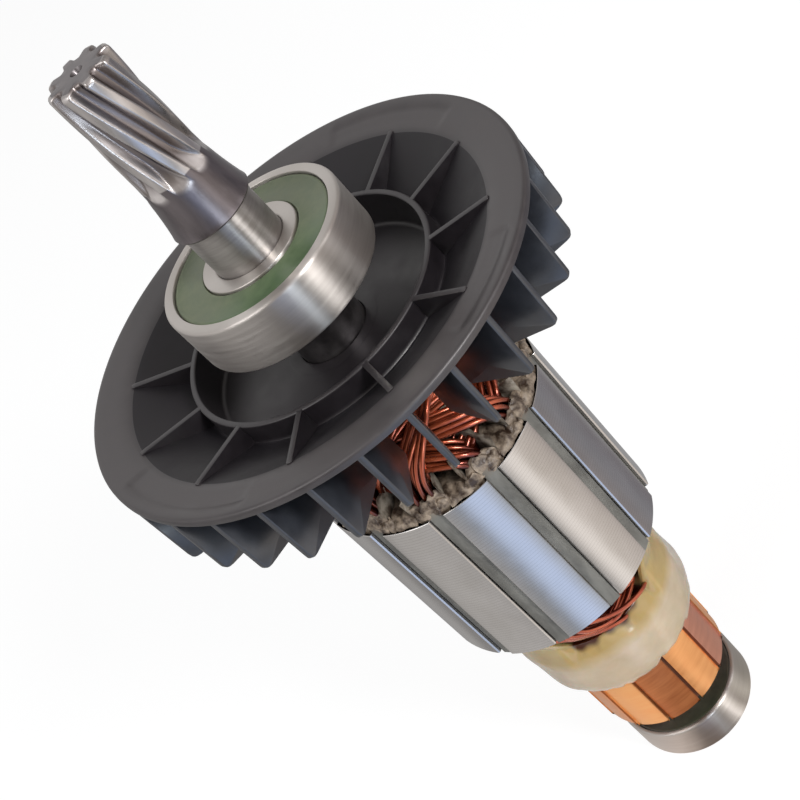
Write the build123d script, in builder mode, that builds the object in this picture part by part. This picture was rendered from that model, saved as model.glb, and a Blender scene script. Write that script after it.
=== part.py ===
from build123d import *
from math import acos, cos, degrees, hypot, radians, sin, tan
import os

os.makedirs("parts", exist_ok=True)

# The rotor of a mains power tool, standing on its commutator end: Z is the shaft axis, Z = 0 is the
# tail end of the shaft, the pinion points up, and X is the side of the rotor that a viewer faces.
# Front is the pinion end and rear is the commutator end.

# Fits
seat_gap = 0.02              # radial gap between a seat and what is pressed on it
ball_gap = 0.03              # ball to raceway
cage_gap = 0.10              # ball to cage pocket
seal_gap = 0.05              # seal lip to inner ring
insulation_gap = 0.05        # paper, wedge and wire to the slot and to each other
cut_margin = 1.0             # how far a cutting shape runs past what it cuts

# Shaft, from the tail upward
tail_diameter = 7.0
commutator_seat_diameter = 8.0
shaft_diameter = 9.0
collar_diameter = 10.3
commutator_standoff = 4.6    # rear bearing to the copper
core_standoff = 15.4         # copper to the core
front_bearing_standoff = 26.6  # core to the front bearing
journal_length = 6.4         # bright length between the front bearing and the collar
cone_length = 7.6
end_chamfer = 0.5

# Pinion, cut in the end of the shaft
pinion_length = 12.9         # parallel toothed length above the cone
pinion_tip_diameter = 8.2
pinion_root_diameter = 5.9
pinion_teeth = 8
pinion_lead = 88.0           # left-hand helix
pinion_gap_angle = 22.5      # middle of a gap at the tip, from X
gap_root_width = 0.8
gap_tip_width = 2.2
runout_length = 4.4
centre_hole_diameter = 1.6
centre_hole_depth = 1.2

# Ball bearings, standard sizes 7 x 19 x 6 at the rear and 9 x 24 x 7 at the front
rear_outside_diameter = 19.0
rear_width = 6.0
rear_ball_diameter = 3.2
rear_inner_land_diameter = 10.1
rear_outer_land_diameter = 15.4
rear_seal_diameter = 17.6
front_outside_diameter = 24.0
front_width = 7.0
front_ball_diameter = 3.9
front_inner_land_diameter = 12.8
front_outer_land_diameter = 19.8
front_seal_diameter = 21.2
ball_count = 7
race_chamfer = 0.4
race_flank = 35.0            # slope of a raceway's two flanks, from the axis
seal_thickness = 0.6
seal_recess = 0.25           # seal face below the face of the ring
cage_wall = 1.9
cage_base = 0.35             # under the balls

# Laminated core
core_diameter = 32.4
core_length = 28.6
slot_count = 12
slot_angle = 5.5             # middle of the first slot, from X
slot_bottom_diameter = 18.6
slot_mouth_depth = 0.8       # face of the core to the neck of the slot
slot_lip_depth = 0.5         # neck to the shoulder of the slot
slot_opening = 1.85
tooth_width = 3.0

# Insulation
sleeve_wall = 1.5
sleeve_overhang = 11.6       # past each end of the core
liner_wall = 0.25
front_liner_overhang = 2.8
rear_liner_overhang = 0.8
front_wedge_overhang = 2.4
rear_wedge_overhang = 0.6
wedge_depth = 0.5            # below the shoulder of the slot
wedge_recess = 0.55          # wedge face below the face of the core
end_plate_thickness = 0.6
end_plate_finger_width = 2.4
end_plate_inset = 0.7        # tips of the fingers below the face of the core

# Winding: twelve coils that span five slots, laid in six layers
span_slot_count = 5
layer_count = 6
front_layer_pitch = 1.55
rear_layer_pitch = 1.15
layer_gap = 0.1
winding_gap = 0.2            # liner end to the first layer
coil_bottom_diameter = 19.6
coil_middle_diameter = 24.0
end_turn_diameter = 15.2     # middle of the end turns, round the sleeve
end_turn_width = 2.2
inner_riser_depth = 0.95
outer_riser_diameter = 23.8
outer_riser_depth = 1.0
riser_length = 6.4

# Commutator
bar_count = 12
bar_length = 17.4
bar_diameter = 19.9
bar_root_diameter = 14.4
bar_angle = 3.2              # middle of the first groove, from X
bar_groove = 0.55
undercut_depth = 0.6
tang_width = 1.6
tang_length = 1.8
tang_reach = 1.1
tang_root = 1.0              # length of the tang inside its bar
moulding_rim = 1.6           # moulding past each end of the bars

# Resin over the rear winding
resin_diameter = 24.9
copper_in_resin = 4.8        # length of the bars under the resin
resin_lip_height = 1.8       # slope of the lip onto the copper
resin_lip_width = 1.4
resin_skirt_wall = 0.55
resin_window_width = 12.5
resin_window_angle = -5.0

# Cooling fan, moulded in plastic and pressed on the shaft
fan_diameter = 59.7
fan_hub_diameter = 15.0
fan_hub_height = 5.4
fan_hub_to_bearing = 8.3
fan_wall = 1.1
fan_floor_wall = 1.5
fan_rim_to_bearing = 1.2     # top of the rim below the bottom face of the front bearing
fan_face_slope = 0.15        # fall of the face for each unit of radius, towards the shaft
fan_rim_chamfer = 0.4
fan_pocket_diameter = 50.4
fan_ring_diameter = 33.6
fan_ring_wall = 0.8
fan_pocket_depth = 3.0       # below the top of the ring
fan_rib_count = 12
fan_rib_width = 0.7
blade_count = 30
blade_angle = -1.0           # middle of the first blade, from X
blade_thickness = 0.7
blade_height = 8.8           # from the underside of the rim to the blade's tail
blade_tail_slope = 0.32      # fall of the tail edge for each unit of radius, towards the shaft
blade_corner = 0.5
blade_inner_diameter = 35.2
blade_setback = 0.1          # outer edge of the blades inside the rim

# Heights of the stations on the axis
copper_bottom = rear_width + commutator_standoff
copper_top = copper_bottom + bar_length
core_bottom = copper_top + core_standoff
core_top = core_bottom + core_length
front_bearing_bottom = core_top + front_bearing_standoff
front_bearing_top = front_bearing_bottom + front_width
collar_bottom = front_bearing_top + journal_length
cone_top = collar_bottom + cone_length
pinion_top = cone_top + pinion_length
sleeve_bottom = core_bottom - sleeve_overhang
sleeve_top = core_top + sleeve_overhang

# Radii shared by neighbours
shaft_radius = shaft_diameter / 2
sleeve_radius = shaft_radius + seat_gap + sleeve_wall
core_radius = core_diameter / 2
bar_radius = bar_diameter / 2
bar_root = bar_root_diameter / 2


def save(piece, name):
    piece.part.label = name
    export_step(piece.part, f"parts/{name}.step")


def at_angle(radius, angle):
    return (radius * cos(radians(angle)), radius * sin(radians(angle)))


# Shaft and pinion. One turned and hobbed piece of steel: seats for the bearings, commutator and
# core, a collar that runs up in a cone to the pinion, and left-hand helical teeth.
root_radius = pinion_root_diameter / 2
tip_radius = pinion_tip_diameter / 2
cutter_radius = collar_diameter / 2 + cut_margin
flank_slope = (gap_tip_width - gap_root_width) / 2 / (tip_radius - root_radius)
runout_rise = cutter_radius - root_radius
gap_sections = (
    (pinion_top + cut_margin, 0),
    (pinion_top - pinion_length / 2, 0),
    (cone_top + runout_length / 2, 0),
    (cone_top - runout_length / 4, 0.2 * runout_rise),
    (cone_top - runout_length, 0.9 * runout_rise),
)
with BuildPart() as pinion_gap:
    for height, lift in gap_sections:
        turn = pinion_gap_angle - 360 * (height - pinion_top) / pinion_lead
        with BuildSketch(Plane.XY.offset(height).rotated((0, 0, turn))):
            root = root_radius + lift
            half = gap_root_width / 2
            reach = half + flank_slope * (cutter_radius - root_radius)
            Polygon(
                (root, -half),
                (cutter_radius, -reach),
                (cutter_radius, reach),
                (root, half),
                align=None,
            )
    loft(ruled=True)

with BuildPart() as rotor_shaft:
    with BuildSketch(Plane.XZ):
        with BuildLine():
            Polyline(
                (0, pinion_top),
                (0, 0),
                (tail_diameter / 2 - end_chamfer, 0),
                (tail_diameter / 2, end_chamfer),
                (tail_diameter / 2, rear_width),
                (commutator_seat_diameter / 2, rear_width),
                (commutator_seat_diameter / 2, copper_top + moulding_rim),
                (shaft_radius, copper_top + moulding_rim),
                (shaft_radius, collar_bottom),
                (collar_diameter / 2, collar_bottom),
                (tip_radius, cone_top),
                (tip_radius, pinion_top - end_chamfer),
                (tip_radius - end_chamfer, pinion_top),
                (0, pinion_top),
            )
        make_face()
    revolve(axis=Axis.Z)
    with PolarLocations(0, pinion_teeth):
        add(pinion_gap.part, mode=Mode.SUBTRACT)
    with Locations((0, 0, pinion_top)):
        CounterSinkHole(centre_hole_diameter / 4, centre_hole_diameter / 2, centre_hole_depth)
save(rotor_shaft, "rotor_shaft")

# Sleeve. A moulded tube that insulates the shaft from the core and the winding.
with BuildPart() as shaft_sleeve:
    with BuildSketch(Plane.XY.offset(sleeve_bottom)):
        Circle(sleeve_radius)
        Circle(shaft_radius + seat_gap, mode=Mode.SUBTRACT)
    extrude(amount=sleeve_top - sleeve_bottom)
save(shaft_sleeve, "shaft_sleeve")


# Ball bearings. Sealed units: two hardened rings, balls in a snap-in cage, and a rubber seal on each
# side that sits in the outer ring and brushes the inner one.
def bearing(prefix, bottom, bore, outside, width, ball, inner_land, outer_land, seal):
    middle = bottom + width / 2
    top = bottom + width
    pitch = (bore + outside) / 4
    ball_radius = ball / 2
    bore_radius = bore / 2 + seat_gap
    seal_depth = seal_recess + seal_thickness
    contact = (ball_radius + ball_gap) / cos(radians(race_flank))
    race_outside = pitch + contact
    race_inside = pitch - contact
    outer_half = (race_outside - outer_land / 2) / tan(radians(race_flank))
    inner_half = (inner_land / 2 - race_inside) / tan(radians(race_flank))

    with BuildPart() as outer_ring:
        with BuildSketch(Plane.XZ):
            with BuildLine():
                Polyline(
                    (outside / 2 - race_chamfer, bottom),
                    (outside / 2, bottom + race_chamfer),
                    (outside / 2, top - race_chamfer),
                    (outside / 2 - race_chamfer, top),
                    (seal / 2, top),
                    (seal / 2, top - seal_depth),
                    (outer_land / 2, middle + outer_half),
                    (race_outside, middle),
                    (outer_land / 2, middle - outer_half),
                    (seal / 2, bottom + seal_depth),
                    (seal / 2, bottom),
                    close=True,
                )
            make_face()
        revolve(axis=Axis.Z)
    save(outer_ring, f"{prefix}_outer_ring")

    with BuildPart() as inner_ring:
        with BuildSketch(Plane.XZ):
            with BuildLine():
                Polyline(
                    (bore_radius, bottom),
                    (inner_land / 2, bottom),
                    (inner_land / 2, middle - inner_half),
                    (race_inside, middle),
                    (inner_land / 2, middle + inner_half),
                    (inner_land / 2, top),
                    (bore_radius, top),
                    close=True,
                )
            make_face()
        revolve(axis=Axis.Z)
    save(inner_ring, f"{prefix}_inner_ring")

    for side, face in (("lower", bottom + seal_recess), ("upper", top - seal_depth)):
        with BuildPart() as seal_disc:
            with BuildSketch(Plane.XY.offset(face)):
                Circle(seal / 2 - seat_gap)
                Circle(inner_land / 2 + seal_gap, mode=Mode.SUBTRACT)
            extrude(amount=seal_thickness)
        save(seal_disc, f"{prefix}_{side}_seal")

    # A ball with few faces, because the seals hide it: a cube with its edges cut off
    cube = ball_radius * 1.726
    with BuildPart() as one_ball:
        Box(cube, cube, cube)
        chamfer(one_ball.edges(), length=ball_radius * 0.505)
    with BuildPart() as balls:
        with Locations((0, 0, middle)):
            with PolarLocations(pitch, ball_count):
                add(one_ball.part)
    save(balls, f"{prefix}_balls")

    with BuildPart() as cage:
        with BuildSketch(Plane.XY.offset(middle - ball_radius - cage_gap - cage_base)):
            RegularPolygon(pitch + cage_wall / 2, 2 * ball_count)
            RegularPolygon(pitch - cage_wall / 2, 2 * ball_count, mode=Mode.SUBTRACT)
        extrude(amount=ball_radius * 1.3 + cage_gap + cage_base)
        with Locations((0, 0, middle)):
            with PolarLocations(pitch, ball_count):
                Box(
                    2 * cage_wall,
                    2 * (ball_radius + cage_gap),
                    2 * (ball_radius + cage_gap),
                    mode=Mode.SUBTRACT,
                )
    save(cage, f"{prefix}_cage")


bearing(
    "rear_bearing",
    0,
    tail_diameter,
    rear_outside_diameter,
    rear_width,
    rear_ball_diameter,
    rear_inner_land_diameter,
    rear_outer_land_diameter,
    rear_seal_diameter,
)
bearing(
    "front_bearing",
    front_bearing_bottom,
    shaft_diameter,
    front_outside_diameter,
    front_width,
    front_ball_diameter,
    front_inner_land_diameter,
    front_outer_land_diameter,
    front_seal_diameter,
)


# Core. A stack of stamped steel laminations with parallel teeth and half-closed slots.
def slot_half_width(radius, lining=0.0):
    "Half the width of a slot at a radius, less the lining of its side"
    side = radians(180 / slot_count)
    return radius * tan(side) - tooth_width / 2 / cos(side) - lining


def slot_band(inner, outer, lining):
    "Corners of a stretch of slot between two radii, less the lining of its sides"
    low = slot_half_width(inner, lining)
    high = slot_half_width(outer, lining)
    return [(inner, -low), (outer, -high), (outer, high), (inner, low)]


def slot_plane(height, slot):
    "Plane across the shaft, with its X axis through the middle of a slot"
    return Plane.XY.offset(height).rotated((0, 0, slot_angle + slot * 360 / slot_count))


slot_bottom = slot_bottom_diameter / 2
slot_neck = core_radius - slot_mouth_depth
slot_shoulder = slot_neck - slot_lip_depth
mouth = slot_opening / 2

with BuildSketch() as slot_profile:
    with BuildLine():
        Polyline(
            (slot_bottom, -slot_half_width(slot_bottom)),
            (slot_shoulder, -slot_half_width(slot_shoulder)),
            (slot_neck, -mouth),
            (core_radius + cut_margin, -mouth),
            (core_radius + cut_margin, mouth),
            (slot_neck, mouth),
            (slot_shoulder, slot_half_width(slot_shoulder)),
            (slot_bottom, slot_half_width(slot_bottom)),
            close=True,
        )
    make_face()

with BuildPart() as lamination_stack:
    with BuildSketch(Plane.XY.offset(core_bottom)):
        Circle(core_radius)
        Circle(sleeve_radius + seat_gap, mode=Mode.SUBTRACT)
        with PolarLocations(0, slot_count, slot_angle):
            add(slot_profile.sketch, mode=Mode.SUBTRACT)
    extrude(amount=core_length)
save(lamination_stack, "lamination_stack")

# End plates. A fibre star on each face of the core, with a finger on each tooth.
end_plate_radius = core_radius - end_plate_inset
for name, bottom in (
    ("rear_end_plate", core_bottom - end_plate_thickness),
    ("front_end_plate", core_top),
):
    with BuildPart() as end_plate:
        with BuildSketch(Plane.XY.offset(bottom)):
            RegularPolygon(slot_bottom, slot_count, rotation=slot_angle + 180 / slot_count)
            with PolarLocations(end_plate_radius / 2, slot_count, slot_angle + 180 / slot_count):
                Rectangle(end_plate_radius, end_plate_finger_width)
            Circle(sleeve_radius + seat_gap, mode=Mode.SUBTRACT)
        extrude(amount=end_plate_thickness)
    save(end_plate, name)

# Slot liners. A paper trough in each slot, standing out of both ends of the core.
liner_lining = insulation_gap + liner_wall
liner_bottom = slot_bottom + insulation_gap
liner_top = slot_shoulder - insulation_gap
liner_corner = liner_bottom + liner_wall
liner_outline = (
    (liner_bottom, 0),
    (liner_bottom, slot_half_width(liner_bottom, liner_lining)),
    (liner_corner, slot_half_width(liner_corner, insulation_gap)),
    (liner_top, slot_half_width(liner_top, insulation_gap)),
    (liner_top, slot_half_width(liner_top, liner_lining)),
    (liner_corner, slot_half_width(liner_corner, liner_lining)),
    (liner_corner, 0),
)
with BuildSketch() as liner_profile:
    with BuildLine():
        Polyline(*liner_outline)
        mirror(about=Plane.XZ)
    make_face()

with BuildPart() as slot_liners:
    with BuildSketch(Plane.XY.offset(core_bottom - rear_liner_overhang)):
        with PolarLocations(0, slot_count, slot_angle):
            add(liner_profile.sketch)
    extrude(amount=rear_liner_overhang + core_length + front_liner_overhang)
save(slot_liners, "slot_liners")

# Slot wedges. A fibre strip closes each slot under the tooth tips and fills its mouth.
wedge_face = core_radius - wedge_recess
wedge_back = slot_shoulder - wedge_depth
wedge_lining = liner_lining + insulation_gap
wedge_lip = mouth - insulation_gap
wedge_outline = (
    (wedge_back, slot_half_width(wedge_back, wedge_lining)),
    (slot_shoulder - insulation_gap, slot_half_width(slot_shoulder, wedge_lining)),
    (slot_neck - insulation_gap, wedge_lip),
    (wedge_face, wedge_lip),
)
for index in range(slot_count):
    with BuildPart() as slot_wedge:
        with BuildSketch(slot_plane(core_bottom - rear_wedge_overhang, index)):
            with BuildLine():
                Polyline(*wedge_outline)
                Line(wedge_outline[-1], (wedge_face, 0))
                Line(wedge_outline[0], (wedge_back, 0))
                mirror(about=Plane.XZ)
            make_face()
        extrude(amount=rear_wedge_overhang + core_length + front_wedge_overhang)
    save(slot_wedge, f"slot_wedge_{index + 1:02d}")

# Winding. A coil lies in one slot and in the slot that its span reaches, and its twin lies across
# the shaft from it. The coils wound first lie at the bottom of their slots, with their end turns
# nearest the core.
coil_bottom = coil_bottom_diameter / 2
coil_middle = coil_middle_diameter / 2
coil_top = wedge_back - insulation_gap
outer_riser = outer_riser_diameter / 2


def side_section(is_inner):
    "Corners of the bundle in a slot, at its bottom or at its top"
    if is_inner:
        return slot_band(coil_bottom, coil_middle - insulation_gap, wedge_lining)
    return slot_band(coil_middle + insulation_gap, coil_top, wedge_lining)


def riser_section(is_inner):
    "Corners of the bundle where it turns into its end turn"
    if is_inner:
        return slot_band(coil_bottom, coil_bottom + inner_riser_depth, wedge_lining)
    return slot_band(outer_riser - outer_riser_depth, outer_riser, wedge_lining)


def bundle_section(is_inner, share):
    "Corners of the bundle, a share of the way from the slot to its riser"
    corners = zip(side_section(is_inner), riser_section(is_inner))
    return [(a + (c - a) * share, b + (d - b) * share) for (a, b), (c, d) in corners]


def add_riser(slot, is_inner, face, direction, height):
    "Bundle from a face of the core to the far side of its layer"
    bend = min(height, riser_length)
    with BuildSketch(slot_plane(face, slot)) as foot:
        Polygon(*bundle_section(is_inner, 0), align=None)
    with BuildSketch(slot_plane(face + direction * bend, slot)) as head:
        Polygon(*bundle_section(is_inner, bend / riser_length), align=None)
    loft([foot.sketch.face(), head.sketch.face()], ruled=True)
    if height > bend:
        extrude(head.sketch, amount=direction * (height - bend))


def add_end_turn(slot, bottom, thickness, start_radius, end_radius):
    "Bundle from one riser in to a circle round the sleeve, along it, and out to the other riser"
    radius = end_turn_diameter / 2
    span = span_slot_count * 360 / slot_count
    lean_in = degrees(acos(radius / start_radius))
    lean_out = degrees(acos(radius / end_radius))
    with BuildSketch(slot_plane(bottom, slot)) as turn:
        with BuildLine():
            Polyline(
                (start_radius, 0),
                at_angle(radius, lean_in),
                at_angle(radius / cos(radians(span - lean_in - lean_out) / 2), (span + lean_in - lean_out) / 2),
                at_angle(radius, span - lean_out),
                at_angle(end_radius, span),
            )
        trace(line_width=end_turn_width)
    extrude(turn.sketch, amount=thickness)


front_turn = front_layer_pitch - layer_gap
rear_turn = rear_layer_pitch - layer_gap
riser_start = {True: coil_bottom, False: outer_riser - outer_riser_depth}
for index in range(slot_count):
    twin, layer = divmod(index, layer_count)
    slot = layer + twin * layer_count
    is_inner = layer < span_slot_count
    far_is_inner = layer == 0
    front_height = front_liner_overhang + winding_gap + layer * front_layer_pitch + front_turn
    rear_height = rear_liner_overhang + winding_gap + layer * rear_layer_pitch + rear_turn
    starts = (riser_start[is_inner], riser_start[far_is_inner])
    with BuildPart() as coil:
        for side, inner in ((slot, is_inner), (slot + span_slot_count, far_is_inner)):
            with BuildSketch(slot_plane(core_bottom, side)):
                Polygon(*side_section(inner), align=None)
            extrude(amount=core_length)
            add_riser(side, inner, core_top, 1, front_height)
            add_riser(side, inner, core_bottom, -1, rear_height)
        add_end_turn(slot, core_top + front_height - front_turn, front_turn, *starts)
        add_end_turn(slot, core_bottom - rear_height, rear_turn, *starts)
    save(coil, f"coil_{index + 1:02d}")

# Commutator. Copper bars held and parted by a moulding, with a tang on each bar for the leads.
bar_side = radians(180 / bar_count)
groove_apex = bar_groove / 2 / sin(bar_side)
wedge_base = bar_radius + cut_margin
wedge_spread = (wedge_base - groove_apex) * tan(bar_side)
with BuildSketch() as bar_profile:
    Circle(bar_radius)
    Circle(bar_root, mode=Mode.SUBTRACT)
    Polygon(
        (groove_apex, 0),
        (wedge_base, -wedge_spread),
        (wedge_base, wedge_spread),
        align=None,
        mode=Mode.INTERSECT,
    )

tang_outside = bar_radius + tang_reach
for index in range(bar_count):
    turn = bar_angle + (index + 0.5) * 360 / bar_count
    with BuildPart() as commutator_bar:
        with BuildSketch(Plane.XY.offset(copper_bottom)):
            with PolarLocations(0, 1, turn):
                add(bar_profile.sketch)
        extrude(amount=bar_length)
        with BuildSketch(Plane.XY.offset(copper_top - tang_length)):
            with PolarLocations((bar_radius - tang_root + tang_outside) / 2, 1, turn):
                Rectangle(tang_root + tang_reach, tang_width)
        extrude(amount=tang_length)
    save(commutator_bar, f"commutator_bar_{index + 1:02d}")

rib_outside = bar_radius - undercut_depth
rib_inside = bar_root - moulding_rim
with BuildPart() as commutator_moulding:
    with BuildSketch(Plane.XY.offset(copper_bottom - moulding_rim)):
        Circle(bar_root - seat_gap)
        Circle(commutator_seat_diameter / 2 + seat_gap, mode=Mode.SUBTRACT)
    extrude(amount=bar_length + 2 * moulding_rim)
    with BuildSketch(Plane.XY.offset(copper_bottom)):
        with PolarLocations((rib_outside + rib_inside) / 2, bar_count, bar_angle):
            Rectangle(rib_outside - rib_inside, bar_groove - 2 * seat_gap)
    extrude(amount=bar_length)
save(commutator_moulding, "commutator_moulding")

# Resin. Poured over the tangs, the leads and the rear winding, and left open where the end turns
# show.
resin_radius = resin_diameter / 2
resin_bottom = copper_top - copper_in_resin
resin_floor = core_bottom - rear_liner_overhang - winding_gap - layer_count * rear_layer_pitch
resin_bend = core_bottom - riser_length
resin_top = core_bottom - rear_liner_overhang - winding_gap
cavity_low = hypot(outer_riser, end_turn_width / 2) + insulation_gap
cavity_high = hypot(coil_top, slot_half_width(coil_top, wedge_lining)) + insulation_gap
cavity_top = cavity_low + (cavity_high - cavity_low) * (resin_top - resin_bend) / riser_length
tang_hole = tang_outside + insulation_gap
tang_bottom = copper_top - tang_length - insulation_gap
moulding_top = copper_top + moulding_rim + insulation_gap
with BuildPart() as resin_collar:
    with BuildSketch(Plane.XZ) as resin_profile:
        with BuildLine():
            Polyline(
                (bar_radius + seat_gap, resin_bottom),
                (resin_radius, resin_bottom),
                (resin_radius, resin_bend),
                (cavity_top + resin_skirt_wall, resin_top),
                (cavity_top, resin_top),
                (cavity_low, resin_bend),
                (cavity_low, resin_floor),
                (sleeve_radius + seat_gap, resin_floor),
                (sleeve_radius + seat_gap, moulding_top),
                (tang_hole, moulding_top),
                (tang_hole, tang_bottom),
                (bar_radius + seat_gap, tang_bottom),
                close=True,
            )
        make_face()
        chamfer(
            resin_profile.vertices().sort_by_distance((resin_radius, 0, resin_bottom))[0],
            resin_lip_height,
            resin_lip_width,
        )
    revolve(axis=Axis.Z)
    with BuildSketch(Plane.XY.offset(resin_bend).rotated((0, 0, resin_window_angle))):
        with Locations((core_radius / 2, 0)):
            Rectangle(core_radius, resin_window_width)
    extrude(amount=riser_length, mode=Mode.SUBTRACT)
save(resin_collar, "resin_collar")

# Cooling fan. A moulded disc whose face dishes in to a ring, with a thin rib between each pair of
# pockets, a floor that carries the hub, and straight radial blades behind the rim.
fan_radius = fan_diameter / 2
rim_top = front_bearing_bottom - fan_rim_to_bearing
rim_bottom = rim_top - fan_wall
hub_top = front_bearing_bottom - fan_hub_to_bearing
hub_bottom = hub_top - fan_hub_height
ring_outside = fan_ring_diameter / 2
ring_inside = ring_outside - fan_ring_wall
pocket_edge = fan_pocket_diameter / 2
blade_inside = blade_inner_diameter / 2
blade_outside = fan_radius - blade_setback


def face_height(radius):
    "Height of the fan's face, which falls from the rim towards the shaft"
    return rim_top - fan_face_slope * (fan_radius - radius)


ring_top = face_height(ring_outside)
pocket_floor = ring_top - fan_pocket_depth

with BuildPart() as fan_blade:
    with BuildSketch(Plane.XZ) as blade_profile:
        with BuildLine():
            Polyline(
                (blade_inside, pocket_floor - fan_wall / 2),
                (blade_inside, rim_bottom - blade_height - blade_tail_slope * (blade_outside - blade_inside)),
                (blade_outside, rim_bottom - blade_height),
                (blade_outside, rim_bottom + fan_wall / 4),
                (pocket_edge, face_height(pocket_edge) - fan_wall / 2),
                close=True,
            )
        make_face()
        chamfer(blade_profile.vertices().sort_by_distance((blade_outside, 0, 0))[0], blade_corner)
    extrude(amount=blade_thickness / 2, both=True)

with BuildPart() as fan_rib:
    with BuildSketch(Plane.XZ):
        with BuildLine():
            Polyline(
                (ring_inside + fan_ring_wall / 2, pocket_floor - fan_wall / 2),
                (pocket_edge, face_height(pocket_edge) - fan_wall / 2),
                (pocket_edge, face_height(pocket_edge)),
                (ring_inside + fan_ring_wall / 2, face_height(ring_inside + fan_ring_wall / 2)),
                close=True,
            )
        make_face()
    extrude(amount=fan_rib_width / 2, both=True)

with BuildPart() as cooling_fan:
    with BuildSketch(Plane.XZ) as fan_profile:
        with BuildLine():
            Polyline(
                (fan_radius, rim_bottom),
                (fan_radius, rim_top),
                (pocket_edge, face_height(pocket_edge)),
                (ring_outside, pocket_floor),
                (ring_outside, ring_top),
                (ring_inside, ring_top),
                (ring_inside, hub_top),
                (shaft_radius + seat_gap, hub_top),
                (shaft_radius + seat_gap, hub_bottom),
                (fan_hub_diameter / 2, hub_bottom),
                (fan_hub_diameter / 2, hub_top - fan_floor_wall),
                (ring_outside, hub_top - fan_floor_wall),
                (ring_outside, pocket_floor - fan_wall),
                (pocket_edge, face_height(pocket_edge) - fan_wall),
                close=True,
            )
        make_face()
        chamfer(fan_profile.vertices().sort_by_distance((fan_radius, 0, rim_top))[0], fan_rim_chamfer)
    revolve(axis=Axis.Z)
    with PolarLocations(0, fan_rib_count):
        add(fan_rib.part)
    with PolarLocations(0, blade_count, blade_angle):
        add(fan_blade.part)
save(cooling_fan, "cooling_fan")
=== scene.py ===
import bmesh
import bpy
import numpy as np
from mathutils import Matrix, Vector


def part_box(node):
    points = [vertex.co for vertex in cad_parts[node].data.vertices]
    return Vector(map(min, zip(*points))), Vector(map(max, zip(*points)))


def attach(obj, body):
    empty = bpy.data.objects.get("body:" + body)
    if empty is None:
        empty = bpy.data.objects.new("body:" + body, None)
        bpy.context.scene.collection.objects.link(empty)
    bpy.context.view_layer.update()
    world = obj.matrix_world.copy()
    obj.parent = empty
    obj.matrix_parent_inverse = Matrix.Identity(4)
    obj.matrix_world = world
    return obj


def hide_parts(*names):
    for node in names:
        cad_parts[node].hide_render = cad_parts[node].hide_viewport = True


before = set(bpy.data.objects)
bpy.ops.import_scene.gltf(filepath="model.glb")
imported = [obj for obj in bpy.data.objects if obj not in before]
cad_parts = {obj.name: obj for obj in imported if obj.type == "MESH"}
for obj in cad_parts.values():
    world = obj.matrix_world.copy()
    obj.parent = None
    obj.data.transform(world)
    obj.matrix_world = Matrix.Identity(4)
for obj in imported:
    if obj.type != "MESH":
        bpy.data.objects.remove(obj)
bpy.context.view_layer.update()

# Camera. The rotor stands on its tail, and the photograph looks down on it at 36 degrees with the
# picture turned, so that the shaft runs from the top left to the bottom right.
view_lens = bpy.data.cameras.new("view_lens")
view_lens.lens = 68.5
view_lens.sensor_width = 36.0
view_lens.clip_start = 0.01
viewer = bpy.data.objects.new("viewer", view_lens)
view_right = (0.41498, 0.71133, -0.56728)
view_up = (-0.42038, 0.70286, 0.57382)
view_back = (0.80689, 0.00035, 0.59070)
viewer.matrix_world = Matrix((view_right, view_up, view_back)).transposed().to_4x4()
viewer.matrix_world.translation = (0.14645, 0.0, 0.18389)
bpy.context.scene.collection.objects.link(viewer)
bpy.context.scene.camera = viewer
bpy.context.scene.view_settings.view_transform = "Standard"


# Studio. A white sweep lit by two soft boxes, with pale and dark cards standing round the rotor. The
# turned and ground steel shows the cards as streaks along the shaft.
def shader_nodes(tree, empty=True):
    "A function that adds a shader node to the tree and sets its values, and one that links two sockets"
    if empty:
        tree.nodes.clear()

    def add(kind, **values):
        node = tree.nodes.new("ShaderNode" + kind)
        for key, value in values.items():
            if key.startswith("in_"):
                node.inputs[key[3:].replace("_", " ")].default_value = value
            else:
                setattr(node, key, value)
        return node

    return add, tree.links.new


def card_colours(add, link, coordinates, cards):
    "Colour of the cards by the angle round the shaft: a radial gradient through a colour ramp"
    turn = add("TexGradient", gradient_type="RADIAL")
    ramp = add("ValToRGB")
    link(coordinates, turn.inputs["Vector"])
    link(turn.outputs["Fac"], ramp.inputs["Fac"])
    stops = ramp.color_ramp.elements
    stops.remove(stops[1])
    for index, (angle, colour) in enumerate(cards):
        place = angle / 360 + 0.5
        stop = stops[0] if index == 0 else stops.new(place)
        stop.position = place
        stop.color = (*colour, 1)
    return ramp.outputs["Color"]


def shader_between(add, link, factor, first, second):
    "Shader that passes from the first one to the second as the factor goes from 0 to 1"
    mixed = add("MixShader")
    link(factor, mixed.inputs["Fac"])
    link(first.outputs[0], mixed.inputs[1])
    link(second.outputs[0], mixed.inputs[2])
    return mixed


room_cards = (
    (-180, (0.90, 0.88, 0.87)), (-150, (0.66, 0.65, 0.64)), (-125, (0.70, 0.67, 0.66)),
    (-104, (0.80, 0.77, 0.76)), (-80, (0.86, 0.83, 0.82)), (-64, (0.30, 0.28, 0.27)),
    (-40, (0.12, 0.10, 0.09)), (-27, (0.34, 0.28, 0.23)), (-10, (0.40, 0.36, 0.34)),
    (-3, (0.85, 0.80, 0.80)), (2, (0.85, 0.80, 0.80)), (8, (0.12, 0.10, 0.09)),
    (15, (0.25, 0.22, 0.21)), (20, (1.2, 1.15, 1.15)), (33, (1.6, 1.5, 1.5)),
    (40, (0.18, 0.15, 0.14)), (52, (0.40, 0.37, 0.36)), (58, (1.8, 1.75, 1.75)),
    (66, (1.7, 1.65, 1.65)), (73, (0.60, 0.53, 0.50)), (104, (0.52, 0.48, 0.46)),
    (126, (0.42, 0.40, 0.38)), (145, (0.42, 0.40, 0.39)), (180, (0.90, 0.88, 0.87)),
)
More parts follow.
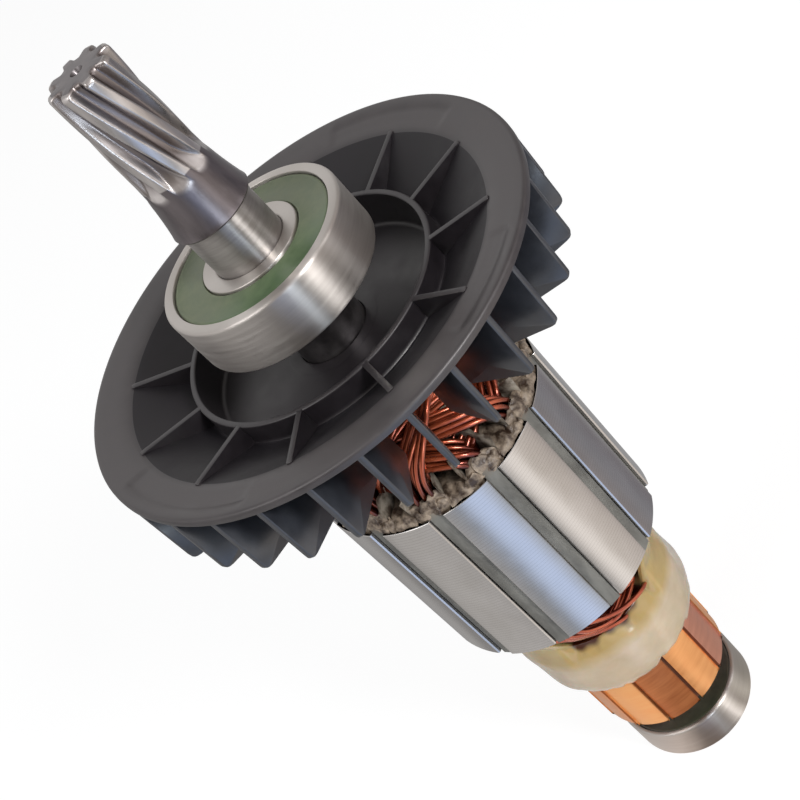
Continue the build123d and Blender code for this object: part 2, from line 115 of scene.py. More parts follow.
far_cards = (
    (-180, (0.46, 0.45, 0.45)), (-150, (0.34, 0.33, 0.33)), (-125, (0.50, 0.49, 0.48)),
    (-108, (0.28, 0.27, 0.27)), (-92, (0.62, 0.60, 0.58)), (-73, (0.66, 0.64, 0.62)),
    (-50, (0.62, 0.60, 0.59)), (-36, (0.50, 0.50, 0.51)), (-27, (0.42, 0.46, 0.53)),
    (-19, (0.84, 1.00, 1.34)), (-8, (0.90, 1.08, 1.50)), (0, (0.74, 0.82, 0.97)),
    (8, (0.48, 0.48, 0.48)), (18, (0.44, 0.42, 0.40)), (24, (1.35, 1.27, 1.21)),
    (31, (1.50, 1.42, 1.35)), (38, (0.92, 0.84, 0.77)), (54, (0.84, 0.76, 0.70)),
    (70, (0.38, 0.34, 0.34)), (90, (0.34, 0.34, 0.37)), (110, (0.24, 0.22, 0.24)),
    (124, (0.50, 0.50, 0.50)), (138, (0.38, 0.38, 0.39)), (160, (0.54, 0.53, 0.53)),
    (180, (0.46, 0.45, 0.45)),
)
near_cards = (
    (-180, (0.50, 0.49, 0.48)), (-150, (0.40, 0.39, 0.38)), (-120, (0.60, 0.58, 0.56)),
    (-80, (0.80, 0.72, 0.68)), (-50, (0.95, 0.80, 0.72)), (-36, (0.66, 0.54, 0.47)),
    (-22, (0.24, 0.18, 0.15)), (-4, (0.20, 0.14, 0.11)), (9, (0.20, 0.16, 0.13)),
    (15, (0.40, 0.35, 0.31)), (20, (1.30, 1.22, 1.16)), (26, (0.95, 0.88, 0.80)),
    (32, (0.45, 0.39, 0.34)), (44, (0.70, 0.65, 0.56)), (64, (0.40, 0.38, 0.34)),
    (90, (0.38, 0.36, 0.34)), (130, (0.55, 0.53, 0.52)), (180, (0.50, 0.49, 0.48)),
)
world = bpy.data.worlds.new("studio_room")
bpy.context.scene.world = world
world.use_nodes = True
add, link = shader_nodes(world.node_tree)
path = add("LightPath")
room = add("TexCoord")
white_room = add("Background", in_Color=(1, 1, 1, 1), in_Strength=1.0)
card_room = add("Background", in_Strength=1.0)
soft_room = add("Background", in_Color=(0.97, 0.98, 1.0, 1), in_Strength=0.36)
seen_straight = add("Math", operation="MAXIMUM")
world_out = add("OutputWorld")
link(card_colours(add, link, room.outputs["Object"], room_cards), card_room.inputs["Color"])
link(path.outputs["Is Camera Ray"], seen_straight.inputs[0])
link(path.outputs["Is Transmission Ray"], seen_straight.inputs[1])
unseen_room = shader_between(add, link, path.outputs["Is Glossy Ray"], soft_room, card_room)
whole_room = shader_between(add, link, seen_straight.outputs[0], unseen_room, white_room)
link(whole_room.outputs[0], world_out.inputs["Surface"])

floor_reach = 1.6
floor_corners = [(x * floor_reach, y * floor_reach, 0) for x, y in ((-1, -1), (1, -1), (1, 1), (-1, 1))]
floor_mesh = bpy.data.meshes.new("studio_floor")
floor_mesh.from_pydata(floor_corners, [], [(0, 1, 2, 3)])
studio_floor = bpy.data.objects.new("studio_floor", floor_mesh)
bpy.context.scene.collection.objects.link(studio_floor)
floor_paint = bpy.data.materials.new("floor_paint")
floor_paint.use_nodes = True
add, link = shader_nodes(floor_paint.node_tree)
path = add("LightPath")
place = add("TexCoord")
matt_floor = add("BsdfDiffuse", in_Color=(0.9, 0.9, 0.9, 1))
white_floor = add("Emission", in_Color=(1, 1, 1, 1), in_Strength=1.15)
card_floor = add("Emission", in_Strength=1.0)
away = add("VectorMath", operation="LENGTH")
beyond = add("MapRange", in_From_Min=0.020, in_From_Max=0.045)
near_or_far = add("Mix", data_type="RGBA")
pale_floor = add("MixShader", in_Fac=0.75)
floor_out = add("OutputMaterial")
link(place.outputs["Object"], away.inputs[0])
link(away.outputs["Value"], beyond.inputs["Value"])
link(beyond.outputs["Result"], near_or_far.inputs[0])
link(card_colours(add, link, place.outputs["Object"], near_cards), near_or_far.inputs[6])
link(card_colours(add, link, place.outputs["Object"], far_cards), near_or_far.inputs[7])
link(near_or_far.outputs[2], card_floor.inputs["Color"])
link(matt_floor.outputs[0], pale_floor.inputs[1])
link(white_floor.outputs[0], pale_floor.inputs[2])
seen_floor = shader_between(add, link, path.outputs["Is Camera Ray"], matt_floor, pale_floor)
shown_floor = shader_between(add, link, path.outputs["Is Glossy Ray"], seen_floor, card_floor)
link(shown_floor.outputs[0], floor_out.inputs["Surface"])
floor_mesh.materials.append(floor_paint)

lamp_aim = Vector((0, 0, 0.07))
for box_name, angle, height, reach, size, power, tint in (
    ("key_soft_box", 27, 34, 0.55, 0.13, 1.5, (1.0, 0.985, 0.97)),
    ("fill_soft_box", -62, 50, 0.55, 0.36, 0.8, (1.0, 0.99, 0.98)),
    ("edge_soft_box", 1, 4, 0.60, 0.12, 0.34, (0.74, 0.87, 1.0)),
):
    lamp = bpy.data.lights.new(box_name, "AREA")
    lamp.shape = "DISK"
    lamp.size = size
    lamp.energy = power
    lamp.color = tint
    flat, rise = np.radians(angle), np.radians(height)
    toward = Vector((np.cos(flat) * np.cos(rise), np.sin(flat) * np.cos(rise), np.sin(rise)))
    lamp_object = bpy.data.objects.new(box_name, lamp)
    lamp_object.location = lamp_aim + toward * reach
    lamp_object.rotation_euler = toward.to_track_quat("Z", "Y").to_euler()
    bpy.context.scene.collection.objects.link(lamp_object)


# Shaft and pinion. One bar of case-hardened steel, turned, ground at its seats, and hobbed at the front
# end into eight left-hand helical teeth that run out in a cone above a collar.
def rounded(corners, radii, steps=5):
    """Profile with its corners rounded: at each corner a quadratic curve leaves one side and joins the
    next, both at the corner's own distance from it. A distance of 0 keeps the corner as one point."""
    corners = np.asarray(corners, float)
    radii = np.broadcast_to(np.asarray(radii, float), len(corners))
    before = np.roll(corners, 1, axis=0) - corners
    after = np.roll(corners, -1, axis=0) - corners
    before /= np.linalg.norm(before, axis=1, keepdims=True)
    after /= np.linalg.norm(after, axis=1, keepdims=True)
    t = np.linspace(0, 1, steps)[None, :, None]
    start = (corners + before * radii[:, None])[:, None]
    end = (corners + after * radii[:, None])[:, None]
    curve = (1 - t) ** 2 * start + 2 * t * (1 - t) * corners[:, None] + t**2 * end
    return np.concatenate([c if r > 0 else c[:1] for c, r in zip(curve, radii)])


def skin(name, points, body, close_rows=False, close_columns=True, sharp=35.0, fill_ends=False):
    """Mesh of one or more grids of points in millimetres, given as copies, rows, columns and x y z. Each
    face joins a point to the next in its row and in its column, and points that meet become one."""
    points = np.asarray(points, float)
    if points.ndim == 3:
        points = points[None]
    copies, rows, columns = points.shape[:3]
    number = np.arange(copies * rows * columns).reshape(copies, rows, columns)
    if close_rows:
        number = np.concatenate([number, number[:, :1]], axis=1)
    if close_columns:
        number = np.concatenate([number, number[:, :, :1]], axis=2)
    here, beside = number[:, :-1], number[:, 1:]
    quads = np.stack([here[..., :-1], here[..., 1:], beside[..., 1:], beside[..., :-1]], axis=-1)
    mesh = bpy.data.meshes.new(name)
    mesh.from_pydata((points.reshape(-1, 3) * 0.001).tolist(), [], quads.reshape(-1, 4).tolist())
    work = bmesh.new()
    work.from_mesh(mesh)
    bmesh.ops.remove_doubles(work, verts=work.verts, dist=2e-7)
    bmesh.ops.dissolve_degenerate(work, edges=work.edges, dist=1e-8)
    if fill_ends:
        open_edges = [edge for edge in work.edges if edge.is_boundary]
        bmesh.ops.triangle_fill(work, edges=open_edges, use_beauty=True)
        bmesh.ops.recalc_face_normals(work, faces=work.faces)
    if work.calc_volume(signed=True) < 0:
        bmesh.ops.reverse_faces(work, faces=work.faces)
    work.to_mesh(mesh)
    work.free()
    mesh.shade_smooth()
    mesh.set_sharp_from_angle(angle=np.radians(sharp))
    piece = bpy.data.objects.new(name, mesh)
    bpy.context.scene.collection.objects.link(piece)
    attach(piece, body)
    return piece


def about_shaft(radius, angle, height):
    "Points in x, y and z from distances out, angles round the shaft and heights, on one common grid"
    return np.stack(np.broadcast_arrays(radius * np.cos(angle), radius * np.sin(angle), height), axis=-1)


def full_turn(columns):
    "Angles of so many even steps round the shaft"
    return np.linspace(0, 2 * np.pi, columns, endpoint=False)


def turned(profile, columns):
    "Solid of revolution: each point of the profile, given as radius and height, carried round the shaft"
    radius, height = np.asarray(profile, float).T[:, :, None]
    return about_shaft(radius, full_turn(columns), height)


def finish(
    name, dark, light, roughness, metallic=0.0, grain=600.0, stretch=(1, 1, 1), spread=0.08, relief=0.0,
    depth=0.02, lathe=False, contrast=0.18, **sockets,
):
    """Material whose colour runs from dark to light, and whose roughness and relief vary, with a noise
    of that many grains to the metre, stretched along the axes. Lathe steel reflects along its turning"""
    made = bpy.data.materials.new(name)
    made.use_nodes = True
    add, link = shader_nodes(made.node_tree)
    place = add("TexCoord")
    laid = add("Mapping", in_Scale=tuple(grain * s for s in stretch))
    noise = add("TexNoise", in_Scale=1.0, in_Detail=4.0, in_Roughness=0.6)
    tint = add("ValToRGB")
    for index, (position, colour) in enumerate(((0.5 - contrast, dark), (0.5 + contrast, light))):
        tint.color_ramp.elements[index].position = position
        tint.color_ramp.elements[index].color = (*colour, 1)
    rough = add(
        "MapRange", in_From_Min=0.3, in_From_Max=0.7, in_To_Min=max(roughness - spread, 0.05),
        in_To_Max=min(roughness + spread, 1.0),
    )
    bump = add("Bump", in_Strength=relief, in_Distance=depth * 0.001)
    shader = add("BsdfPrincipled", in_Metallic=metallic)
    for key, value in sockets.items():
        shader.inputs[key.replace("_", " ")].default_value = value
    if lathe:
        turning = add("Tangent", direction_type="RADIAL", axis="Z")
        shader.inputs["Anisotropic"].default_value = 0.94
        shader.inputs["Anisotropic Rotation"].default_value = 0.25
        link(turning.outputs["Tangent"], shader.inputs["Tangent"])
    out = add("OutputMaterial")
    link(place.outputs["Object"], laid.inputs["Vector"])
    link(laid.outputs["Vector"], noise.inputs["Vector"])
    link(noise.outputs["Fac"], tint.inputs["Fac"])
    link(tint.outputs["Color"], shader.inputs["Base Color"])
    link(noise.outputs["Fac"], rough.inputs["Value"])
    link(rough.outputs["Result"], shader.inputs["Roughness"])
    link(noise.outputs["Fac"], bump.inputs["Height"])
    link(bump.outputs["Normal"], shader.inputs["Normal"])
    link(shader.outputs[0], out.inputs["Surface"])
    return made


def multiply_colour(tree, amount, colour):
    "Multiplies a material's colour by another one, as far as the value of a socket says"
    add, link = shader_nodes(tree, empty=False)
    shader = next(node for node in tree.nodes if node.type == "BSDF_PRINCIPLED")
    before = shader.inputs["Base Color"].links[0].from_socket
    mixed = add("Mix", data_type="RGBA", blend_type="MULTIPLY")
    mixed.inputs[7].default_value = (*colour, 1)
    link(amount, mixed.inputs[0])
    link(before, mixed.inputs[6])
    link(mixed.outputs[2], shader.inputs["Base Color"])


def shade(material, along, start, end, colour):
    """Multiplies the material's colour by another one, more and more from one distance to the next, in
    millimetres across the shaft, up it, out from it, or in the value that the mesh carries: the depth of cut
    on the shaft, and painted shade on the wires and the resin"""
    add, link = shader_nodes(material.node_tree, empty=False)
    place = add("TexCoord")
    parts = add("SeparateXYZ")
    flat = add("VectorMath", operation="MULTIPLY")
    flat.inputs[1].default_value = (1, 1, 0)
    out = add("VectorMath", operation="LENGTH")
    cut = add("Attribute", attribute_name="cut_depth_and_shade")
    ramp = add("MapRange", in_From_Min=start * 0.001, in_From_Max=end * 0.001)
    link(place.outputs["Object"], parts.inputs[0])
    link(place.outputs["Object"], flat.inputs[0])
    link(flat.outputs["Vector"], out.inputs[0])
    distance = {
        "x": parts.outputs[0], "z": parts.outputs[2], "radius": out.outputs["Value"],
        "cut": cut.outputs["Fac"],
    }
    link(distance[along], ramp.inputs["Value"])
    multiply_colour(material.node_tree, ramp.outputs["Result"], colour)


def dress(piece, slot, material, *nodes):
    """Gives a piece its material, and lets it stand for CAD nodes. The slot is not used."""
    piece.data.materials.append(material)
    if nodes:
        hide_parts(*nodes)
    return piece


def wear(piece, number, *materials):
    "Gives a piece more materials, and each face the one whose number it has"
    for material in materials:
        piece.data.materials.append(material)
    piece.data.polygons.foreach_set("material_index", np.asarray(number, np.int32))


def read_mesh(items, field):
    "Positions in millimetres of all faces or points of a mesh, and their distances from the shaft's axis"
    place = np.empty(len(items) * 3)
    items.foreach_get(field, place)
    place = place.reshape(-1, 3) * 1000
    return place, np.hypot(place[:, 0], place[:, 1])


def keep_cut_and_shade(piece, depth):
    """Stores a value in millimetres at every point of the mesh: the depth of cut on the shaft, and painted
    shade on the wires and the resin
    """
    piece.data.attributes.new("cut_depth_and_shade", "FLOAT", "POINT").data.foreach_set("value", depth * 0.001)


def part_way(value, start, end):
    "How far a value has come from a start to an end, held between 0 and 1"
    return np.clip((value - start) / (end - start), 0, 1)


def blend_low(a, b, width):
    "The lower of two values, with the step between them rounded over a width"
    return (a + b - np.sqrt((a - b) ** 2 + width**2)) / 2


shaft_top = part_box("rotor_shaft")[1].z * 1000
rear_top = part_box("rear_bearing_outer_ring")[1].z * 1000
front_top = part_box("front_bearing_outer_ring")[1].z * 1000
tail_radius = 3.5
seat_radius = 4.0
seat_top = 29.6
journal_radius = 4.5
neck_low = rear_top + 80
neck_high = front_top - 7.3
collar_radius = 5.15
collar_bottom = front_top + 6.4
cone_top = collar_bottom + 7.6
tooth_tip = 4.1
tooth_root = 2.95
tooth_angle = 45.0
helix_lead = 88.0
runout_rise = 3.2
runout_top = cone_top + 2.2
runout_low = cone_top - 4.4
flank_slope = 0.609
flank_set_back = 1.396
stock = np.array([
    (0.0, 0.0), (tail_radius - 0.4, 0.0), (tail_radius - 0.1, 0.15), (tail_radius, 0.5),
    (tail_radius, rear_top - 0.4), (tail_radius + 0.12, rear_top), (seat_radius, rear_top),
    (seat_radius, seat_top), (journal_radius, seat_top), (journal_radius, neck_low),
    (journal_radius, neck_high), (journal_radius, front_top - 0.5), (journal_radius, front_top + 2.0),
    (journal_radius, collar_bottom - 0.12), (collar_radius - 0.1, collar_bottom - 0.05),
    (collar_radius, collar_bottom + 0.12),
])
flare_height = np.linspace(collar_bottom + 0.5, cone_top, 34)
flare_share = (cone_top - flare_height) / (cone_top - collar_bottom)
flare_radius = tooth_tip + (collar_radius - tooth_tip) * (0.35 * flare_share + 0.65 * flare_share**2)
toothed_height = np.linspace(cone_top + 0.15, shaft_top - 0.55, 72)
row_radius = np.concatenate([stock[:, 0], flare_radius, np.full(72, tooth_tip)])[:, None]
row_height = np.concatenate([stock[:, 1], flare_height, toothed_height])[:, None]

# The teeth: from the middle of a gap outwards the valley is a flat root, then a straight flank, and it
# climbs out of the steel towards the collar. The bar keeps what is lower, the valley or its own surface.
column = full_turn(224)[None, :]
helix = np.clip(row_height - collar_bottom, 0, None)
turn = column - 2 * np.pi * (helix - (shaft_top - collar_bottom)) / helix_lead
gap_angle = np.radians(np.abs(np.degrees(column) % tooth_angle - tooth_angle / 2))
runout = runout_rise * part_way(row_height, runout_top, runout_low) ** 2
flank_rise = flank_slope * np.cos(gap_angle) - np.sin(gap_angle)
flank = np.where(flank_rise > 0.02, flank_set_back / np.maximum(flank_rise, 0.02), 70.0)
valley = -blend_low(-(tooth_root + runout) / np.cos(gap_angle), -np.minimum(flank, 9.0), 0.25)
in_teeth = row_height > collar_bottom + 0.3
shaft_radius = np.where(in_teeth, blend_low(row_radius + 0.02, valley, 0.22), row_radius)
shaft_radius = np.minimum(shaft_radius, row_radius)
end_radius = shaft_radius[-1:] * np.array([0.975, 0.93, 0.86, 0.6, 0.3])[:, None]
end_height = shaft_top - np.array([0.25, 0.07, 0.0, 0.0, 0.0])[:, None]
hole_radius = np.array([0.8, 0.42, 0.36, 0.0])[:, None] + 0 * column
hole_height = shaft_top - np.array([0.0, 0.6, 1.1, 1.3])[:, None]
end_turn = np.repeat(turn[-1:], len(end_height) + len(hole_height), axis=0)
shaft_points = about_shaft(
    np.concatenate([shaft_radius, end_radius, hole_radius]),
    np.concatenate([turn, end_turn]),
    np.concatenate([row_height, end_height, hole_height]),
)
ground_steel = finish(
    "ground_steel", (0.35, 0.33, 0.32), (0.43, 0.41, 0.395), 0.38, metallic=1.0, grain=700.0,
    stretch=(0.4, 0.4, 5), spread=0.05, relief=0.1, depth=0.006, lathe=True,
)
hobbed_steel = finish(
    "hobbed_steel", (0.42, 0.40, 0.39), (0.64, 0.61, 0.60), 0.32, metallic=1.0, grain=500.0,
    stretch=(1, 1, 0.2), spread=0.07, relief=0.15, depth=0.02,
)
# Painted shade: the steel darkens down in the gaps between the teeth.
shade(hobbed_steel, "radius", 3.9, 3.1, (0.42, 0.39, 0.39))
shade(hobbed_steel, "cut", 0.10, 0.01, (0.34, 0.32, 0.34))
# Dark scaled steel: real scale on the pinion's end face, and painted shadow on the neck below the front
# bearing.
scale_and_shade_steel = finish(
    "scale_and_shade_steel", (0.13, 0.12, 0.125), (0.25, 0.235, 0.24), 0.4, metallic=1.0, grain=420.0, spread=0.1,
    relief=0.3, depth=0.03,
)
shaft_piece = dress(skin("hobbed_shaft", shaft_points, "rotor"), "shaft_steel", ground_steel, "rotor_shaft")
face, reach = read_mesh(shaft_piece.data.polygons, "center")
steel = (face[:, 2] > collar_bottom - 0.1).astype(int)
end_face = (face[:, 2] > shaft_top - 0.03) | ((face[:, 2] > shaft_top - 1.5) & (reach < 0.9))
# Painted shadow: the neck between the fan's hub and the front bearing takes the dark scaled steel.
shaded_neck = (face[:, 2] > neck_low) & (face[:, 2] < neck_high + 0.1)
steel[end_face | shaded_neck] = 2
wear(shaft_piece, steel, hobbed_steel, scale_and_shade_steel)
point, reach = read_mesh(shaft_piece.data.vertices, "co")
below_stock = np.interp(point[:, 2], row_height[:, 0], row_radius[:, 0]) - reach
keep_cut_and_shade(shaft_piece, below_stock + part_way(point[:, 2], cone_top - 1, cone_top))


# Ball bearings. Standard sealed bearings, 9 x 24 x 7 mm at the front and 7 x 19 x 6 mm at the rear: two
# ground steel rings, and rubber seals, green in front, that snap in the outer ring and brush the inner.
front_width = 7.0
ring_steel = finish(
    "ring_steel", (0.55, 0.52, 0.49), (0.63, 0.60, 0.57), 0.38, metallic=1.0, grain=400.0,
    stretch=(0.3, 0.3, 6), spread=0.04, relief=0.06, depth=0.005, lathe=True,
)
cage_plastic = finish("cage_plastic", (0.30, 0.25, 0.16), (0.42, 0.36, 0.24), 0.5)
ball_steel = finish("ball_steel", (0.70, 0.70, 0.70), (0.80, 0.80, 0.80), 0.12, metallic=1.0)
front_bottom = front_top - front_width
for end, bottom, bore, outside, width, inner_land, seal, dark, pale in (
    ("rear", 0.0, 7.0, 19.0, 6.0, 10.1, 17.6, (0.062, 0.052, 0.040), (0.096, 0.080, 0.064)),
    ("front", front_bottom, 9.0, 24.0, front_width, 12.8, 21.2, (0.105, 0.135, 0.075), (0.155, 0.180, 0.110)),
):
    prefix = f"{end}_bearing"
    outer_body = f"{end}_outer_race"
    top = bottom + width
    groove, land = seal / 2 + 0.05, seal / 2 - 0.6
    outer_profile = rounded(
        [
            (outside / 2, bottom), (outside / 2, top), (groove, top), (groove, top - 0.8),
            (land, top - 1.1), (land, bottom + 1.1), (groove, bottom + 0.8), (groove, bottom),
        ],
        [0.42, 0.42, 0.1, 0, 0, 0, 0, 0.1],
    )
    outer_piece = skin(f"{prefix}_outer_race", turned(outer_profile, 160), outer_body, close_rows=True)
    dress(outer_piece, "bearing_steel", ring_steel, f"{prefix}_outer_ring")
    inner_profile = rounded(
        [(inner_land / 2, bottom), (inner_land / 2, top), (bore / 2 + 0.02, top), (bore / 2 + 0.02, bottom)],
        [0.12, 0.16, 0.3, 0.3],
    )
    inner_piece = skin(f"{prefix}_inner_race", turned(inner_profile, 128), "rotor", close_rows=True)
    dress(inner_piece, "bearing_steel", ring_steel, f"{prefix}_inner_ring")
    seal_rubber = finish(f"{prefix}_rubber", dark, pale, 0.42, grain=700.0, relief=0.3, depth=0.02)
    # Painted reflection: the seals turn greener towards +x, and the rear seal is left a warm brown away from
    # it.
    shade(seal_rubber, "x", 4.0, 9.5, (0.62, 0.92, 0.66))
    lip, rim = inner_land / 2 + 0.05, seal / 2 - 0.03
    for side, face, out in (("lower", bottom, -1), ("upper", top, 1)):
        section = np.array([
            (lip, 0.62), (lip + 0.02, 0.5), (lip + 0.16, 0.27), (lip + 0.34, 0.25), (lip + 0.5, 0.33),
            (rim - 0.62, 0.33), (rim - 0.46, 0.25), (rim - 0.2, 0.25), (rim - 0.07, 0.34), (rim, 0.6),
            (rim, 0.84), (lip, 0.84),
        ])
        section[:, 1] = face - out * section[:, 1]
        seal_points = turned(section[::-out], 128)
        seal_piece = skin(f"{prefix}_{side}_rubber", seal_points, outer_body, close_rows=True)
        dress(seal_piece, "seal_rubber", seal_rubber, f"{prefix}_{side}_seal")
    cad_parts[f"{prefix}_balls"].material_slots[0].material = ball_steel
    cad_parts[f"{prefix}_cage"].material_slots[0].material = cage_plastic


# Core. Fifty-seven stamped laminations of silicon steel, riveted by their own dimples and pressed over
# the sleeve, then ground on the outside. The stack keeps a fine line at each joint.
def spin_by(angle):
    "Matrix that turns rows of x and y about the shaft, or one such matrix for each of the angles"
    cosine, sine = np.cos(angle), np.sin(angle)
    return np.stack([np.stack([cosine, sine], axis=-1), np.stack([-sine, cosine], axis=-1)], axis=-2)


def spun(points, angle):
    "Points turned about the shaft, all by one angle or each set of them by its own"
    return np.concatenate([points[..., :2] @ spin_by(angle), points[..., 2:]], axis=-1)


def score(material, bottom, thickness, colour):
    """Darkens a thin line at each joint of the stack: the height above the bottom is divided by the
    thickness of a sheet, and the line lies where the fraction left over is small"""
    add, link = shader_nodes(material.node_tree, empty=False)
    parts = add("SeparateXYZ")
    link(add("TexCoord").outputs["Object"], parts.inputs[0])
    number = parts.outputs[2]
    for operation, value in (
        ("SUBTRACT", bottom * 0.001), ("DIVIDE", thickness * 0.001), ("FRACT", 0.0), ("LESS_THAN", 0.14),
    ):
        step = add("Math", operation=operation)
        step.inputs[1].default_value = value
        link(number, step.inputs[0])
        number = step.outputs[0]
    multiply_colour(material.node_tree, number, colour)


core_low, core_high = (corner.z * 1000 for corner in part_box("lamination_stack"))
sheet_count = 57
slot_start = 5.5
slot_turn = np.radians(slot_start + 30 * np.arange(12))
tooth_pitch = np.radians(30)
core_radius = 16.2
bore_radius = 6.04
slot_mouth = 0.925
slot_side = np.array([(9.3, 0.939), (14.9, 2.44), (15.4, slot_mouth), (15.98, slot_mouth), (16.16, 1.06)])
crown_edge = np.arcsin(1.2 / core_radius)
crown_angle = np.linspace(crown_edge, tooth_pitch - crown_edge, 64)
crown = np.stack([core_radius * np.cos(crown_angle), core_radius * np.sin(crown_angle)], axis=1)
one_tooth = np.concatenate([slot_side, crown, spun(slot_side[::-1] * (1, -1), tooth_pitch)])
core_outline = (one_tooth @ spin_by(slot_turn)).reshape(-1, 2)
core_z = np.array([core_low, core_low + 0.05, core_low + 0.3, core_high - 0.3, core_high - 0.05, core_high])
shrink = np.array([-0.06, 0.0, 0.0, 0.0, 0.0, -0.06])
outline_reach = np.linalg.norm(core_outline, axis=1)
stack_points = np.empty((len(core_z), len(core_outline), 3))
stack_points[..., :2] = core_outline * (1 + shrink[:, None, None] / outline_reach[None, :, None])
stack_points[..., 2] = core_z[:, None]
core_steel = finish(
    "core_steel", (0.52, 0.505, 0.49), (0.60, 0.585, 0.575), 0.23, metallic=1.0, grain=260.0,
    stretch=(1, 1, 0.5), spread=0.05, relief=0.04, depth=0.02,
)
score(core_steel, core_low, (core_high - core_low) / sheet_count, (0.86, 0.85, 0.845))
core_piece = skin("ground_laminations", stack_points, "rotor", fill_ends=True, sharp=28)
dress(core_piece, "core_steel", core_steel, "lamination_stack")


# Slot wedges. Strips of vulcanised fibre driven into each slot over the wire. They lie half a millimetre
# below the steel, and their ends splay out past the paper at the front, soaked and browned by varnish.
def closed_below(body):
    "A grid with one more row before its first, whose points all lie at the middle of that one"
    return np.concatenate([np.repeat(body[:1].mean(axis=1, keepdims=True), body.shape[1], axis=1), body])


fibre_grey = finish(
    "wedge_fibre", (0.115, 0.112, 0.100), (0.21, 0.205, 0.185), 0.5, grain=380.0, stretch=(1, 1, 0.4),
    relief=0.4, depth=0.05, contrast=0.14,
)
shade(fibre_grey, "z", core_high - 0.5, core_high + 1.0, (1.4, 1.18, 1.0))
fibre_buff = finish(
    "end_fibre", (0.052, 0.031, 0.020), (0.41, 0.325, 0.245), 0.42, grain=760.0, spread=0.12, relief=0.9,
    depth=0.3, contrast=0.12,
)
wedge_section = rounded(
    [
        (14.4, 1.75), (14.4, -1.75), (14.86, -1.95), (15.3, -0.87), (15.66, -0.86), (15.66, 0.86),
        (15.3, 0.87), (14.86, 1.95),
    ],
    0.12, 3,
)[::-1]
wedge_out, wedge_across = wedge_section.T[:, None]
wedge_middle = 15.1
wedge_rise = np.concatenate([np.linspace(-0.6, 28.6, 12), np.linspace(28.9, 31.2, 9)])[:, None]
lift_out = part_way(wedge_rise, 28.4, 31.2)
tip_scale = np.sqrt(1 - 0.93 * part_way(wedge_rise, 30.0, 31.2) ** 2)
tip_wave = 0.35 * part_way(wedge_rise, 29.5, 31.2)
grain_source = np.random.default_rng(12)
for index in range(12):
    wander = grain_source.normal(0, 1, 4)
    splay = 1 + lift_out * (0.55 + 0.08 * wander[0]) * np.exp(-((wedge_out - 15.4) / 1.2) ** 2)
    across = wedge_across * splay * tip_scale
    ripple = 0.17 * np.sin(7.3 * across + 3 * wedge_rise + wander[2])
    ripple = ripple + 0.24 * np.sin(2.6 * across + wander[1])
    outward = wedge_middle + (wedge_out - wedge_middle) * tip_scale
    outward = outward - 0.45 * lift_out**2 * (1 + 0.2 * wander[2]) + lift_out * ripple
    height = core_low + wedge_rise + tip_wave * np.cos(1.3 * across + wander[3]) - 0.35 * lift_out
    wedge_points = spun(closed_below(np.stack([outward, across, height], axis=-1)), slot_turn[index])
    wedge_piece = skin(f"fibre_wedge_{index + 1:02d}", wedge_points, "rotor", sharp=40)
    dress(wedge_piece, "slot_wedge", fibre_grey, f"slot_wedge_{index + 1:02d}")
    face, reach = read_mesh(wedge_piece.data.polygons, "center")
    soaked_edge = core_high + 0.7 + 0.3 * np.sin(135 * np.arctan2(face[:, 1], face[:, 0]) + wander[0])
    wear(wedge_piece, face[:, 2] > soaked_edge, fibre_buff)


# End insulation. A punched star of pressed fibre on each face of the core, stuck down with resin, that
# has run and set in soft lumps over the teeth between the slot papers.
ring_share = np.array([0.0, 0.0, 0.5, 0.68, 0.80, 0.90, 0.97, 1.0, 1.0])[:, None]
ring_rise = np.array([0.0, 0.86, 0.9, 1.0, 1.0, 0.92, 0.62, 0.25, 0.0])[:, None]
star_angle = np.radians(slot_start) + full_turn(12 * 28)
from_tooth = np.abs((np.degrees(star_angle) - slot_start) % 30 - 15)
finger = 9.3 + (6.55 + 0.12 * np.sin(41 * star_angle)) * part_way(from_tooth, 8.6, 7.0) ** 0.6
star_radius = bore_radius + (finger - bore_radius) * ring_share
star_ripple = 0.3 * np.sin(37 * star_angle + 1.7 * star_radius)
star_ripple = star_ripple + 0.25 * np.sin(61 * star_angle - 1.1 * star_radius + 1.0)
crown_fall = np.clip(1 - (from_tooth / 8.5) ** 2, 0, 1) ** 0.5
star_rise = ring_rise * np.where(star_radius > 9.0, 0.55 + 0.45 * crown_fall, 0.5) * (1 + 0.7 * star_ripple)
for side, face, out, thickness in (("front", core_high, 1, 1.15), ("rear", core_low, -1, 0.6)):
    star_points = about_shaft(star_radius, star_angle, face + out * thickness * star_rise)[::-out]
    star_piece = skin(f"{side}_fibre_star", star_points, "rotor", close_rows=True, sharp=50)
    dress(star_piece, "insulating_fibre", fibre_buff, f"{side}_end_plate")
lump_chance = np.random.default_rng(31)
lump_count = 264
lump_limit = 15.95
lump_side = lump_chance.uniform(-1, 1, lump_count)
lump_turn = slot_turn[np.arange(lump_count) % 12] + np.radians(9.0) * lump_side
lump_out = 15.35 - 1.3 * lump_chance.uniform(0, 1, lump_count) ** 1.5 - 0.4 * (np.abs(lump_side) < 0.3)
lump_sizes = ((0.4, 0.8), (0.45, 1.15), (0.4, 1.15))
lump_size = np.stack([lump_chance.uniform(low, high, lump_count) for low, high in lump_sizes], axis=1)
around, down = np.meshgrid(full_turn(10), np.linspace(0, np.pi, 7))
ball = np.stack([np.sin(down) * np.cos(around), np.sin(down) * np.sin(around), np.cos(down)], axis=-1)
phase = lump_chance.uniform(0, 6.28, (lump_count, 3))[:, None, None]
dent = 1 + (np.array([0.16, 0.16, 0.1]) * np.sin(np.array([3, 4, 5]) * ball + phase)).sum(axis=-1)
lump_points = ball * dent[..., None] * lump_size[:, None, None] + np.array([0, 0, core_high + 0.25])
lump_points[..., 0] += lump_out[:, None, None]
lump_points = spun(lump_points, lump_turn[:, None])
